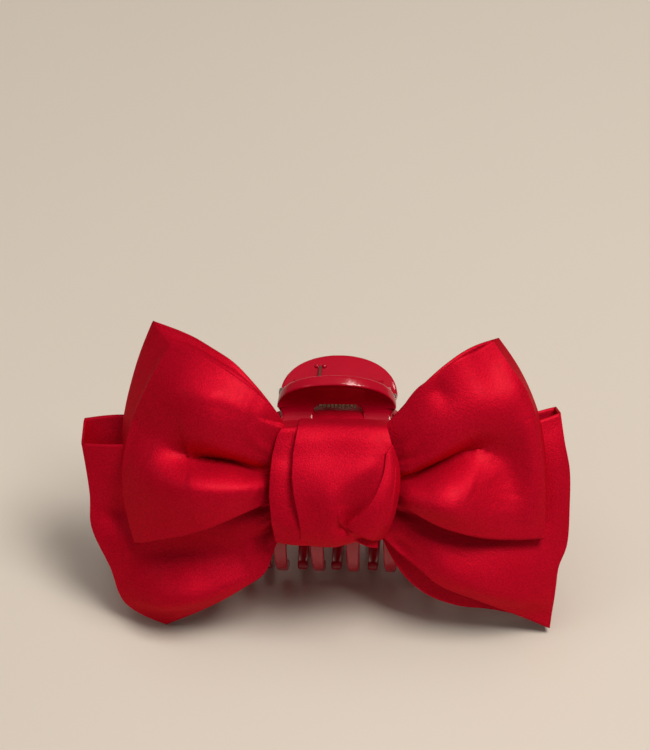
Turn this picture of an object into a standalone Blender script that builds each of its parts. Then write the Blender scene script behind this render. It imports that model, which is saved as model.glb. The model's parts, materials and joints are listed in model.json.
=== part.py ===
"""Double satin hair bow on a spring claw clip.

The clip and the bow are drawn upright, in millimetres, with X across the bow, Y away from the
bow's face and Z up its height. Everything then leans back about X until the clip's rear teeth
and the bow's lower tips stand on one plane, and that plane becomes Z = 0.
"""

import math

import bmesh
import bpy
from mathutils import Matrix, Vector

MM = 0.001
GAP = 0.35

# Clip
HINGE_Y = 15.5
HINGE_Z = 64.0
SHELL = 2.6
BODY_HALF = 42.0
TAB_HALF = 17.0
TAB_RISE = 10.5
WINDOW = (-6.6, 7.4, 57.4, 63.4)
TOOTH_PITCH = 10.6
TOOTH_ROOT = 4.6
TOOTH_TIP = 2.8
TOOTH_END = 12.6
GUM_LINE = 43.0
GUM_FALL = 0.0012
PIN_R = 0.9
PIN_BORE_R = 1.25
EAR_R = 3.7
EAR_FRONT = (13.2, 15.3)
EAR_REAR = (10.8, 12.9)
EAR_REACH = (6.9, 8.2)
COIL_R = 3.0
COIL_HALF = 5.5
COIL_TURNS = 10
WIRE_R = 0.45

# Half of the clip seen from its end, from the tab's rim to a tooth's tip: how far it stands
# out from the hinge, and its height above it.
HALF_PROFILE = [
    (14.0, 8.4),
    (9.6, 4.5),
    (6.6, 0.4),
    (6.3, -3.6),
    (9.2, -8.0),
    (14.6, -12.6),
    (19.2, -19.5),
    (21.0, -28.0),
    (19.2, -37.0),
    (14.0, -44.6),
    (6.4, -49.2),
    (-1.2, -50.6),
]

# Bow
KNOT_HALF = 17.6
STRIP_THICK = 0.7
KNOT = {"front": -21.4, "back": -7.25, "low": 27.6, "high": 63.4}

RED = (0.52, 0.004, 0.022, 1.0)


def clear_scene():
    for obj in list(bpy.data.objects):
        bpy.data.objects.remove(obj, do_unlink=True)


def new_collection(name):
    collection = bpy.data.collections.new(name)
    bpy.context.scene.collection.children.link(collection)
    return collection


def material(name, colour, roughness, metallic=0.0):
    made = bpy.data.materials.new(name)
    made.use_nodes = True
    shader = made.node_tree.nodes["Principled BSDF"]
    shader.inputs["Base Color"].default_value = colour
    shader.inputs["Roughness"].default_value = roughness
    shader.inputs["Metallic"].default_value = metallic
    return made


def mesh_object(name, mesh, collection, surface=None):
    obj = bpy.data.objects.new(name, mesh)
    collection.objects.link(obj)
    if surface:
        mesh.materials.clear()
        mesh.materials.append(surface)
    return obj


def smooth_points(points, steps):
    """Catmull-Rom curve through the points, with this many steps between each two."""
    points = [Vector(p) for p in points]
    ends = [2 * points[0] - points[1]] + points + [2 * points[-1] - points[-2]]
    curve = []
    for i in range(1, len(ends) - 2):
        before, a, b, after = ends[i - 1 : i + 3]
        for k in range(steps):
            t = k / steps
            curve.append(
                0.5
                * (
                    2 * a
                    + (b - before) * t
                    + (2 * before - 5 * a + 4 * b - after) * t**2
                    + (3 * a - before - 3 * b + after) * t**3
                )
            )
    return curve + [points[-1]]


def offset(path, distance):
    """The open 2D path moved sideways, to its left for a positive distance."""
    moved = []
    for i, point in enumerate(path):
        along = (path[min(i + 1, len(path) - 1)] - path[max(i - 1, 0)]).normalized()
        moved.append(point + Vector((-along.y, along.x)) * distance)
    return moved


def prism(name, loops, half_depth, plane, collection):
    """The area inside the first closed 2D loop, less the other loops, extruded both ways.

    In plane "YZ" it is extruded along X, and in plane "XZ" along Y.
    """
    curve = bpy.data.curves.new(name, "CURVE")
    curve.dimensions = "2D"
    curve.fill_mode = "BOTH"
    curve.extrude = half_depth * MM
    for loop in loops:
        spline = curve.splines.new("POLY")
        spline.points.add(len(loop) - 1)
        for target, point in zip(spline.points, loop):
            target.co = (point[0] * MM, point[1] * MM, 0, 1)
        spline.use_cyclic_u = True
    drawn = bpy.data.objects.new(name, curve)
    collection.objects.link(drawn)
    if plane == "YZ":
        drawn.matrix_world = Matrix(((0, 0, 1, 0), (1, 0, 0, 0), (0, 1, 0, 0), (0, 0, 0, 1)))
    else:
        drawn.rotation_euler.x = math.pi / 2
    return solid_from_curve(drawn, collection)


def solid_from_curve(drawn, collection):
    """Replaces the curve object with a welded mesh object in the same place."""
    bpy.context.view_layer.update()
    graph = bpy.context.evaluated_depsgraph_get()
    name = drawn.name
    mesh = bpy.data.meshes.new_from_object(drawn.evaluated_get(graph))
    mesh.transform(drawn.matrix_world)
    bpy.data.objects.remove(drawn, do_unlink=True)
    welded = bmesh.new()
    welded.from_mesh(mesh)
    bmesh.ops.remove_doubles(welded, verts=welded.verts, dist=1e-6)
    bmesh.ops.recalc_face_normals(welded, faces=welded.faces)
    welded.to_mesh(mesh)
    welded.free()
    return mesh_object(name, mesh, collection)


def boolean(obj, operation, cutter):
    modifier = obj.modifiers.new(operation.title() + "_" + cutter.name, "BOOLEAN")
    modifier.operation = operation
    modifier.object = cutter
    cutter.hide_render = True
    cutter.display_type = "WIRE"


def arc(centre, radius, start, end, steps):
    """Points on a circle, or on an ellipse if radius is a pair, with angles in degrees."""
    across, up = radius if isinstance(radius, tuple) else (radius, radius)
    points = []
    for k in range(steps + 1):
        angle = math.radians(start + (end - start) * k / steps)
        points.append((centre[0] + across * math.cos(angle), centre[1] + up * math.sin(angle)))
    return points


def rounded_box(low, high, radius, steps=4):
    """A closed 2D rectangle with round corners."""
    inner_low = (low[0] + radius, low[1] + radius)
    inner_high = (high[0] - radius, high[1] - radius)
    return (
        arc(inner_high, radius, 0, 90, steps)
        + arc((inner_low[0], inner_high[1]), radius, 90, 180, steps)
        + arc(inner_low, radius, 180, 270, steps)
        + arc((inner_high[0], inner_low[1]), radius, 270, 360, steps)
    )


def half_path(side):
    """Middle line of one clip half in Y and Z; side is -1 for the front half, 1 for the rear.

    The tab's end, where the thumb presses, is flat. The rest is one smooth curve.
    """
    points = [Vector((HINGE_Y + side * out, HINGE_Z + up)) for out, up in HALF_PROFILE]
    return points[:1] + smooth_points(points[1:], 3)


def jaw_outline(teeth):
    """One clip half seen from the front: arched tab, neck, sloping shoulders and a comb."""
    right = arc((0, HINGE_Z - 1.5), (TAB_HALF, TAB_RISE), 90, 0, 9)
    right += [(15.6, 59.5), (17.5, 56.5), (24.0, 54.2), (34.0, 51.2)]
    right += arc((BODY_HALF - 5, 44.5), 5, 70, 0, 4)
    left = [(-x, z) for x, z in right[1:]]
    comb = []
    for x in sorted(teeth, reverse=True):
        lean = 0.4 * math.copysign(1, x)
        gum = GUM_LINE - GUM_FALL * x * x
        tooth = [
            (TOOTH_ROOT / 2 + 0.9, gum),
            (TOOTH_ROOT / 2, gum - 2.2),
            (TOOTH_TIP / 2 - lean, TOOTH_END),
            (-TOOTH_TIP / 2 - lean, TOOTH_END),
            (-TOOTH_ROOT / 2, gum - 2.0),
            (-TOOTH_ROOT / 2 - 0.9, gum + 0.1),
        ]
        comb += [(x + across, z) for across, z in tooth]
    return right + comb + left[::-1]


def ear_outline(side):
    """Pin ear seen along the pin: a round boss that runs into the neck of its half."""
    start = 60 if side > 0 else 120
    boss = arc((HINGE_Y, HINGE_Z), EAR_R, start, start + side * 240, 12)
    into_shoulder = (HINGE_Y + side * EAR_REACH[0], HINGE_Z - 4.6)
    into_tab = (HINGE_Y + side * EAR_REACH[1], HINGE_Z + 3.2)
    return boss + [into_shoulder, into_tab]


def pin_bore(name, collection):
    """Cylinder along the hinge axis, a little wider than the pin."""
    bpy.ops.mesh.primitive_cylinder_add(vertices=24, radius=PIN_BORE_R * MM, depth=40 * MM)
    bore = bpy.context.active_object
    bore.name = name
    bore.data.transform(Matrix.Rotation(math.pi / 2, 4, "Y"))
    bore.data.transform(Matrix.Translation((0, HINGE_Y * MM, HINGE_Z * MM)))
    for holder in list(bore.users_collection):
        holder.objects.unlink(bore)
    collection.objects.link(bore)
    return bore


def make_jaw(name, side, teeth, ears, window, surface, parts, cutters):
    path = half_path(side)
    shell = offset(path, SHELL / 2) + offset(path, -SHELL / 2)[::-1]
    jaw = prism(name, [shell], BODY_HALF + 1, "YZ", parts)
    jaw.data.materials.append(surface)
    loops = [jaw_outline(teeth)]
    if window:
        loops.append(rounded_box((WINDOW[0], WINDOW[2]), (WINDOW[1], WINDOW[3]), 1.6))
    outline = prism(name + "_outline", loops, 60, "XZ", cutters)
    boolean(jaw, "INTERSECT", outline)
    for sign in (-1, 1):
        middle = sign * (ears[0] + ears[1]) / 2
        half_width = (ears[1] - ears[0]) / 2
        ear = prism(f"{name}_ear_{sign}", [ear_outline(side)], half_width, "YZ", cutters)
        ear.data.transform(Matrix.Translation((middle * MM, 0, 0)))
        boolean(jaw, "UNION", ear)
    boolean(jaw, "DIFFERENCE", pin_bore(name + "_pin_bore", cutters))
    return jaw


def make_pin(surface, parts):
    """Turned pin: flat head at -X, plain shank, slightly domed end at +X."""
    profile = [(0, -16.9), (1.9, -16.9), (2.2, -16.6), (2.2, -15.9), (1.9, -15.6)]
    profile += [(PIN_R, -15.6), (PIN_R, 16.4), (0.6, 16.8), (0, 16.9)]
    mesh = bpy.data.meshes.new("hinge_pin")
    drawn = bmesh.new()
    points = [drawn.verts.new((r * MM, 0, -x * MM)) for r, x in profile]
    for a, b in zip(points, points[1:]):
        drawn.edges.new((a, b))
    drawn.to_mesh(mesh)
    drawn.free()
    pin = mesh_object("hinge_pin", mesh, parts, surface)
    screw = pin.modifiers.new("Turn", "SCREW")
    screw.steps = 20
    screw.render_steps = 20
    screw.use_merge_vertices = True
    screw.merge_threshold = 0.00001
    pin.location = (0, HINGE_Y * MM, HINGE_Z * MM)
    pin.rotation_euler.y = -math.pi / 2
    return pin


def tangent_angle(target, side):
    """Angle on the coil, in Y and Z about the hinge, where a straight leg to target leaves it."""
    reach = Vector(target).length
    toward = math.atan2(target[1], target[0])
    return toward + side * math.acos(COIL_R / reach)


def make_spring(surface, parts):
    """Coil round the pin; each end runs straight up the inner face of one thumb tab."""
    inner = SHELL / 2 + WIRE_R + 0.3
    tab = Vector(HALF_PROFILE[0]) - Vector(HALF_PROFILE[1])
    tab.normalize()
    normal = Vector((-tab.y, tab.x))
    leg_end = Vector(HALF_PROFILE[1]) + tab * 1.2 + normal * inner
    rear = (leg_end.x, leg_end.y)
    front = (-leg_end.x, leg_end.y)
    first = tangent_angle(rear, 1)
    last = tangent_angle(front, -1) - 2 * math.pi * COIL_TURNS
    steps = COIL_TURNS * 12
    route = [(-COIL_HALF, *rear)]
    for k in range(steps + 1):
        angle = first + (last - first) * k / steps
        x = -COIL_HALF + 2 * COIL_HALF * k / steps
        route.append((x, COIL_R * math.cos(angle), COIL_R * math.sin(angle)))
    route.append((COIL_HALF, *front))
    curve = bpy.data.curves.new("torsion_spring", "CURVE")
    curve.dimensions = "3D"
    curve.bevel_depth = WIRE_R * MM
    curve.bevel_resolution = 2
    curve.use_fill_caps = True
    spline = curve.splines.new("POLY")
    spline.points.add(len(route) - 1)
    for target, (x, y, z) in zip(spline.points, route):
        target.co = (x * MM, (HINGE_Y + y) * MM, (HINGE_Z + z) * MM, 1)
    curve.materials.append(surface)
    spring = bpy.data.objects.new("torsion_spring", curve)
    parts.objects.link(spring)
    return spring


def superellipse(angle, power=0.62):
    c, s = math.cos(angle), math.sin(angle)
    return math.copysign(abs(c) ** power, c), math.copysign(abs(s) ** power, s)


def make_bow(name, stations, surface, parts, around=14):
    """A bow as one soft solid, lofted from its left end to its right end.

    A station is (bottom x and z, top x and z, middle y, depth, outward swell in x).
    """
    mesh = bpy.data.meshes.new(name)
    made = bmesh.new()
    rings = []
    for bottom, top, middle, depth, swell in stations:
        ring = []
        for k in range(around):
            up, out = superellipse(2 * math.pi * (k + 0.5) / around)
            share = 0.5 + 0.5 * up
            x = bottom[0] + (top[0] - bottom[0]) * share + swell * 4 * share * (1 - share)
            z = bottom[1] + (top[1] - bottom[1]) * share
            ring.append(made.verts.new((x * MM, (middle + out * depth / 2) * MM, z * MM)))
        rings.append(ring)
    for ring, after in zip(rings, rings[1:]):
        for k in range(around):
            j = (k + 1) % around
            made.faces.new((ring[k], ring[j], after[j], after[k]))
    ends = [made.faces.new(rings[0]), made.faces.new(rings[-1][::-1])]
    bmesh.ops.triangulate(made, faces=ends)
    bmesh.ops.recalc_face_normals(made, faces=made.faces)
    made.to_mesh(mesh)
    made.free()
    mesh.shade_smooth()
    return mesh_object(name, mesh, parts, surface)


FRONT_BOW = [
    ((-58.0, 28.5), (-48.5, 86.5), -11.0, 7.0, -5.5),
    ((-54.0, 29.0), (-46.0, 85.5), -12.0, 9.0, -4.0),
    ((-38.0, 32.5), (-35.0, 78.5), -16.5, 8.0, 0.0),
    ((-19.8, 38.5), (-19.8, 67.5), -16.0, 7.0, 0.0),
    ((-17.9, 40.5), (-17.9, 59.8), -16.2, 4.0, 0.0),
    ((17.9, 40.5), (17.9, 59.8), -16.2, 4.0, 0.0),
    ((19.8, 39.5), (19.8, 66.0), -16.0, 7.0, 0.0),
    ((38.0, 31.5), (35.0, 76.5), -16.5, 8.0, 0.0),
    ((56.0, 29.5), (44.0, 85.0), -12.0, 9.0, 4.0),
    ((60.0, 29.0), (46.5, 86.0), -11.0, 7.0, 4.0),
]

REAR_BOW = [
    ((-50.5, 1.2), (-72.4, 57.0), 4.6, 9.0, -3.0),
    ((-47.0, 2.2), (-69.0, 58.0), 4.8, 12.0, -2.0),
    ((-44.5, 6.5), (-46.5, 61.0), -8.7, 2.2, 0.0),
    ((-19.8, 24.5), (-19.8, 62.0), -10.2, 3.6, 0.0),
    ((-17.9, 32.5), (-17.9, 58.8), -10.8, 3.6, 0.0),
    ((17.9, 32.5), (17.9, 58.8), -10.8, 3.6, 0.0),
    ((19.8, 22.5), (19.8, 62.0), -10.2, 3.6, 0.0),
    ((44.5, 7.5), (46.5, 62.5), -8.7, 2.2, 0.0),
    ((58.5, 2.2), (60.5, 63.5), 4.8, 12.0, 3.0),
    ((61.5, 1.2), (63.5, 63.0), 4.6, 9.0, 3.0),
]


def make_knot_band(surface, parts):
    """First pass of the knot: a ring of folded satin round the middle of both bows."""
    outer = rounded_box((KNOT["front"], KNOT["low"]), (KNOT["back"], KNOT["high"]), 3.0, 5)
    inner = rounded_box((-19.2, 30.6), (-8.2, 61.2), 1.6, 3)
    band = prism("knot_band", [outer, inner], KNOT_HALF, "YZ", parts)
    band.data.materials.append(surface)
    return band


def make_knot_overwrap(surface, parts):
    """Crossing pass of the knot, over the front of the first pass."""
    outline = rounded_box((-11.0, 29.0), (KNOT_HALF, 62.4), 4.0, 4)
    overwrap = prism("knot_overwrap", [outline], 1.0, "XZ", parts)
    overwrap.data.transform(Matrix.Translation((0, (KNOT["front"] - 1.4) * MM, 0)))
    overwrap.data.materials.append(surface)
    return overwrap


def cut_path(path, high, low):
    """The stretch of a falling 2D path between two heights."""
    kept = [p for p in path if low < p.y < high]
    for height, at_start in ((high, True), (low, False)):
        for a, b in zip(path, path[1:]):
            if a.y >= height > b.y:
                end = a.lerp(b, (a.y - height) / (a.y - b.y))
                kept = [end] + kept if at_start else kept + [end]
    return kept


def make_tie_strip(surface, parts, cutters):
    """Flat strip wound once round the clip's top bar, through the window and between two teeth."""
    rings = []
    for clear in (GAP + STRIP_THICK, GAP):
        reach = SHELL / 2 + clear
        sides = [offset(half_path(-1), side * reach) for side in (1, -1)]
        sides = [cut_path(side, WINDOW[2] + clear, GUM_LINE - clear) for side in sides]
        rings.append(sides[0] + sides[1][::-1])
    strip = prism("tie_strip", rings, 6.0, "YZ", parts)
    strip.data.materials.append(surface)
    outline = [(-5.9, 70), (-5.9, 53), (-1.8, 46), (-1.8, 35), (1.8, 35), (1.8, 46)]
    outline += [(5.9, 53), (5.9, 70)]
    boolean(strip, "INTERSECT", prism("tie_strip_outline", [outline], 60, "XZ", cutters))
    return strip


def make_thread(name, low, high, surface, parts):
    """Gathering thread: a closed ring in Y and Z round a bow's pinched middle."""
    curve = bpy.data.curves.new(name, "CURVE")
    curve.dimensions = "3D"
    curve.bevel_depth = 0.25 * MM
    curve.bevel_resolution = 2
    spline = curve.splines.new("POLY")
    loop = rounded_box(low, high, 1.0, 4)
    spline.points.add(len(loop) - 1)
    for target, (y, z) in zip(spline.points, loop):
        target.co = (0, y * MM, z * MM, 1)
    spline.use_cyclic_u = True
    curve.materials.append(surface)
    thread = bpy.data.objects.new(name, curve)
    parts.objects.link(thread)
    return thread


def make_glue_bead(surface, parts):
    """Flattened bead of set glue between the knot's back and the clip's top bar."""
    bpy.ops.mesh.primitive_uv_sphere_add(segments=20, ring_count=12, radius=1)
    bead = bpy.context.active_object
    bead.name = "glue_bead"
    bead.data.transform(Matrix.Diagonal((8.5 * MM, 0.9 * MM, 4.6 * MM, 1)))
    bead.data.transform(Matrix.Translation((0, -5.95 * MM, 51.5 * MM)))
    bead.data.materials.append(surface)
    for collection in list(bead.users_collection):
        collection.objects.unlink(bead)
    parts.objects.link(bead)
    return bead


def stand_up(objects):
    """Leans the drawing back onto its rear teeth and moves its base's middle to the origin.

    The rear half of the clip hangs from an empty on the hinge axis.
    """
    outer = offset(half_path(1), SHELL / 2)
    lean = min(math.atan2(p.y, p.x) for p in outer if p.y < HINGE_Z / 2 and p.x > HINGE_Y)
    stand = bpy.data.objects.new("stand", None)
    bpy.context.scene.collection.objects.link(stand)
    stand.rotation_euler.x = -lean
    jaw_hinge = bpy.data.objects.new("jaw_hinge", None)
    bpy.context.scene.collection.objects.link(jaw_hinge)
    jaw_hinge.parent = stand
    jaw_hinge.location = (0, HINGE_Y * MM, HINGE_Z * MM)
    for obj in objects:
        moving = obj.name.startswith("rear_jaw")
        obj.parent = jaw_hinge if moving else stand
        if moving:
            obj.matrix_parent_inverse = Matrix.Translation(-jaw_hinge.location)
    bpy.context.view_layer.update()
    graph = bpy.context.evaluated_depsgraph_get()
    corners = []
    for obj in objects:
        if obj.hide_render:
            continue
        done = obj.evaluated_get(graph)
        mesh = done.to_mesh()
        corners += [done.matrix_world @ v.co for v in mesh.vertices]
        done.to_mesh_clear()
    low = [min(c[i] for c in corners) for i in range(3)]
    high = [max(c[i] for c in corners) for i in range(3)]
    stand.location = (-(low[0] + high[0]) / 2, -(low[1] + high[1]) / 2, -low[2])
    bpy.context.view_layer.update()


def main():
    clear_scene()
    parts = new_collection("hair_bow")
    cutters = new_collection("cutters")
    satin = material("red_satin", RED, 0.45)
    plastic = material("red_plastic", (0.5, 0.003, 0.02, 1.0), 0.15)
    steel = material("spring_steel", (0.6, 0.55, 0.45, 1.0), 0.3, 1.0)
    thread = material("red_thread", (0.4, 0.01, 0.02, 1.0), 0.7)
    glue = material("clear_glue", (0.85, 0.82, 0.72, 1.0), 0.35)

    front_teeth = [TOOTH_PITCH * (k - 3.5) for k in range(8)]
    rear_teeth = [TOOTH_PITCH * (k - 3) for k in range(7)]
    make_jaw("front_jaw", -1, front_teeth, EAR_FRONT, True, plastic, parts, cutters)
    make_jaw("rear_jaw", 1, rear_teeth, EAR_REAR, False, plastic, parts, cutters)
    make_pin(steel, parts)
    make_spring(steel, parts)
    make_bow("front_bow", FRONT_BOW, satin, parts)
    make_bow("rear_bow", REAR_BOW, satin, parts)
    make_knot_band(satin, parts)
    make_knot_overwrap(satin, parts)
    make_tie_strip(satin, parts, cutters)
    make_thread("front_bow_thread", (-18.55, 40.1), (-13.85, 60.2), thread, parts)
    make_thread("rear_bow_thread", (-12.95, 32.1), (-8.65, 59.2), thread, parts)
    make_glue_bead(glue, parts)
    stand_up(list(parts.objects) + list(cutters.objects))


main()
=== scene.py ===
import json
import math

import bmesh
import bpy
import numpy as np
from mathutils import Matrix, Vector


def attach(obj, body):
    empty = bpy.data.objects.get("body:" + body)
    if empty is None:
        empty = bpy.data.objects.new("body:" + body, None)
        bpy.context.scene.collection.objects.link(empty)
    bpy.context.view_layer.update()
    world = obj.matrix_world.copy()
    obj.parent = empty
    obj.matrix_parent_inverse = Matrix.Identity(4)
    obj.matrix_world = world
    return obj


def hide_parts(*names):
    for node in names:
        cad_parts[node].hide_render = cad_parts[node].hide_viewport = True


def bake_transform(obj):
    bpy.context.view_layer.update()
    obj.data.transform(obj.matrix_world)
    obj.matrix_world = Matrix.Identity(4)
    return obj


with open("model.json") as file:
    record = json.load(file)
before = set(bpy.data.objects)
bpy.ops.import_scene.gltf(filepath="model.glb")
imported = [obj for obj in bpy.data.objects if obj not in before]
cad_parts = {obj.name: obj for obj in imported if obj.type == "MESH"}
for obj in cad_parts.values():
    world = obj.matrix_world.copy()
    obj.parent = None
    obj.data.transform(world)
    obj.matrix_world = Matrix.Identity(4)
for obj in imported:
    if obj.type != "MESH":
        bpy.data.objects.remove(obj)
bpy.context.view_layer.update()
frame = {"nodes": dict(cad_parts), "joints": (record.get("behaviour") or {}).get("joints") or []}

# The object is drawn upright, in millimetres: X across the bow, Y away from its face, Z up.
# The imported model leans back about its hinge, so every piece is turned with it at the end.
MM = 0.001
LEAN = math.radians(30.548)
PIN_Y, PIN_Z = 15.5, 64.0
HINGE = Vector(frame["joints"][0]["pos_m"])
HINGE_DRAWN = Vector((0, PIN_Y, PIN_Z))
STAND = (
    Matrix.Translation(HINGE)
    @ Matrix.Rotation(-LEAN, 4, "X")
    @ Matrix.Scale(MM, 4)
    @ Matrix.Translation(-HINGE_DRAWN)
)
# Thickness of the cloth, in drawn millimetres.
CLOTH_THICK = 0.55
KNOT_THICK = 0.6
TIE_THICK = 0.5

# ---------------------------------------------------------------- curves and patches


def spline(points, count):
    """Smooth curve through the points, sampled evenly along its length."""
    points = np.array(points, float)
    if len(points) == 2:
        share = np.linspace(0, 1, count)[:, None]
        return points[0] * (1 - share) + points[1] * share
    step = np.linalg.norm(np.diff(points[:, :3], axis=0), axis=1) ** 0.5
    knot = np.concatenate([[0], np.cumsum(step)])
    slope = np.diff(points, axis=0) / np.diff(knot)[:, None]
    tangent = np.empty_like(points)
    before, after = np.diff(knot)[:-1, None], np.diff(knot)[1:, None]
    tangent[1:-1] = (slope[:-1] * after + slope[1:] * before) / (before + after)
    tangent[0] = 1.5 * slope[0] - 0.5 * tangent[1]
    tangent[-1] = 1.5 * slope[-1] - 0.5 * tangent[-2]
    fine = np.linspace(0, knot[-1], 40 * len(points))
    cell = np.clip(np.searchsorted(knot, fine, "right") - 1, 0, len(points) - 2)
    width = np.diff(knot)[cell][:, None]
    t = (fine - knot[cell])[:, None] / width
    curve = (
        (2 * t**3 - 3 * t**2 + 1) * points[cell]
        + (t**3 - 2 * t**2 + t) * width * tangent[cell]
        + (3 * t**2 - 2 * t**3) * points[cell + 1]
        + (t**3 - t**2) * width * tangent[cell + 1]
    )
    run = np.concatenate([[0], np.cumsum(np.linalg.norm(np.diff(curve[:, :3], axis=0), axis=1))])
    even = np.linspace(0, run[-1], count)
    return np.stack([np.interp(even, run, column) for column in curve.T], axis=1)


def patch(bottom, top, start, end, across, up):
    """Smooth surface held by four edges, as an (across, up, 3) grid of points."""
    bottom, top = spline(bottom, across), spline(top, across)
    start, end = spline(start, up), spline(end, up)
    u = np.linspace(0, 1, across)[:, None, None]
    v = np.linspace(0, 1, up)[None, :, None]
    ruled_up = (1 - v) * bottom[:, None] + v * top[:, None]
    ruled_across = (1 - u) * start[None] + u * end[None]
    corners = (1 - u) * ((1 - v) * bottom[0] + v * top[0]) + u * (
        (1 - v) * bottom[-1] + v * top[-1]
    )
    return ruled_up + ruled_across - corners


def fold(grid, line, lap=0.0):
    """Raises or sinks the cloth along a line drawn on its face.

    A line's point is (x, z, height towards the viewer, reach on its left, reach on its right).
    A lap pulls the cloth on its left over the line, as a tuck does.
    """
    line = spline([(x, 0, z, height, left, right) for x, z, height, left, right in line], 80)
    place = line[:, [0, 2]]
    along = np.gradient(place, axis=0)
    along /= np.linalg.norm(along, axis=1)[:, None]
    left_of = np.stack([-along[:, 1], along[:, 0]], axis=1)
    flat = grid.reshape(-1, 3)
    away = flat[:, None, [0, 2]] - place[None]
    near = np.argmin((away**2).sum(2), axis=1)
    away = away[np.arange(len(flat)), near]
    side = (away * left_of[near]).sum(1)
    distance = np.linalg.norm(away, axis=1)
    reach = np.where(side > 0, line[near, 4], line[near, 5])
    share = np.exp(-((distance / np.maximum(reach, 0.2)) ** 2))
    flat[:, 1] -= line[near, 3] * share
    if lap:
        pull = lap * np.exp(-((distance / (1.4 * np.maximum(line[near, 4], 0.2))) ** 2))
        pull *= (side > 0) * (np.abs(line[near, 3]) / np.abs(line[:, 3]).max()) ** 2
        flat[:, [0, 2]] -= left_of[near] * pull[:, None]
    return flat.reshape(grid.shape)


def pleats(grid, heart, height, count, phase, reach):
    """Fine creases that fan out of the knot and fade away from it."""
    x, z = grid[..., 0] - heart[0], grid[..., 2] - heart[1]
    away = np.hypot(x, z)
    turn = np.arctan2(z, np.abs(x))
    wave = np.sin(count * turn + phase) + 0.5 * np.sin(1.7 * count * turn + 2.3 * phase)
    start = np.clip((away - 3) / 6, 0, 1)
    grid[..., 1] -= height * wave * start * np.exp(-np.maximum(away - 8, 0) / reach)
    return grid


def cloth(name, grids, thick=CLOTH_THICK):
    """One strip of cloth from grids that follow each other and share their edge columns."""
    columns = [grids[0]] + [grid[1:] for grid in grids[1:]]
    points = np.concatenate(columns, axis=0)
    count, up = points.shape[:2]
    mesh = bpy.data.meshes.new(name)
    world = [STAND @ Vector(p) for p in points.reshape(-1, 3)]
    faces = [
        (i * up + j, (i + 1) * up + j, (i + 1) * up + j + 1, i * up + j + 1)
        for i in range(count - 1)
        for j in range(up - 1)
    ]
    mesh.from_pydata(world, [], faces)
    mesh.validate()
    mesh.shade_smooth()
    pressed = set(np.cumsum([len(column) for column in columns])[:-1] - 1)
    for edge in mesh.edges:
        a, b = edge.vertices
        edge.use_edge_sharp = a // up == b // up and a // up in pressed
    obj = bpy.data.objects.new(name, mesh)
    bpy.context.scene.collection.objects.link(obj)
    solid = obj.modifiers.new("Thickness", "SOLIDIFY")
    solid.thickness = thick * MM
    solid.offset = 0
    solid.use_rim = True
    mesh.materials.append(SATIN)
    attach(obj, "front_half")
    return obj


def arc(centre, radius, start, end, steps):
    """Points on an ellipse, with angles in degrees."""
    turn = np.radians(np.linspace(start, end, steps + 1))
    return [
        (centre[0] + radius[0] * math.cos(t), centre[1] + radius[1] * math.sin(t)) for t in turn
    ]


def mesh_from_curve(name, curve, weld):
    """The curve's surface as a closed mesh, with its seams welded."""
    drawn = bpy.data.objects.new(name, curve)
    bpy.context.scene.collection.objects.link(drawn)
    bpy.context.view_layer.update()
    graph = bpy.context.evaluated_depsgraph_get()
    mesh = bpy.data.meshes.new_from_object(drawn.evaluated_get(graph))
    bpy.data.objects.remove(drawn)
    bpy.data.curves.remove(curve)
    welded = bmesh.new()
    welded.from_mesh(mesh)
    bmesh.ops.remove_doubles(welded, verts=welded.verts, dist=weld)
    bmesh.ops.recalc_face_normals(welded, faces=welded.faces)
    welded.to_mesh(mesh)
    welded.free()
    return mesh


def plate(name, loops, half, bevel):
    """Closed flat solid from 2D loops, 2 * half thick, with rounded edges, in its own X and Y."""
    curve = bpy.data.curves.new(name, "CURVE")
    curve.dimensions = "2D"
    curve.fill_mode = "BOTH"
    curve.extrude = half - bevel
    curve.bevel_depth = bevel
    curve.bevel_resolution = 3
    curve.offset = -bevel
    for loop in loops:
        edge = curve.splines.new("POLY")
        edge.points.add(len(loop) - 1)
        for target, point in zip(edge.points, loop):
            target.co = (point[0], point[1], 0, 1)
        edge.use_cyclic_u = True
    return mesh_from_curve(name, curve, 1e-4)


def settled(obj):
    """Applies an object's modifiers."""
    bpy.context.view_layer.update()
    graph = bpy.context.evaluated_depsgraph_get()
    mesh = bpy.data.meshes.new_from_object(obj.evaluated_get(graph))
    obj.modifiers.clear()
    obj.data = mesh


def wire(name, route, radius, surface):
    """Round wire along a route drawn in millimetres, with capped ends."""
    curve = bpy.data.curves.new(name, "CURVE")
    curve.dimensions = "3D"
    curve.bevel_depth = radius * MM
    curve.bevel_resolution = 3
    curve.use_fill_caps = True
    line = curve.splines.new("POLY")
    line.points.add(len(route) - 1)
    for target, point in zip(line.points, route):
        target.co = (*(STAND @ Vector(point)), 1)
    mesh = mesh_from_curve(name, curve, 1e-6)
    mesh.shade_smooth()
    mesh.materials.clear()
    mesh.materials.append(surface)
    drawn = bpy.data.objects.new(name, mesh)
    bpy.context.scene.collection.objects.link(drawn)
    return drawn


# ---------------------------------------------------------------- materials


class Nodes:
    """A short way to write a node tree."""

    def __init__(self, name):
        self.material = bpy.data.materials.new(name)
        self.material.use_nodes = True
        self.tree = self.material.node_tree
        self.shader = self.tree.nodes["Principled BSDF"]

    def add(self, kind, values=(), **settings):
        """A new node. Values are inputs, by name or number, and settings are its own properties."""
        node = self.tree.nodes.new(kind)
        for key, value in settings.items():
            setattr(node, key, value)
        for key, value in dict(values).items():
            if isinstance(value, bpy.types.NodeSocket):
                self.tree.links.new(value, node.inputs[key])
            else:
                node.inputs[key].default_value = value
        return node

    def set(self, **values):
        """Sets or links inputs of the surface shader."""
        for key, value in values.items():
            socket = self.shader.inputs[key.replace("_", " ")]
            if isinstance(value, bpy.types.NodeSocket):
                self.tree.links.new(value, socket)
            else:
                socket.default_value = value


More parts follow.
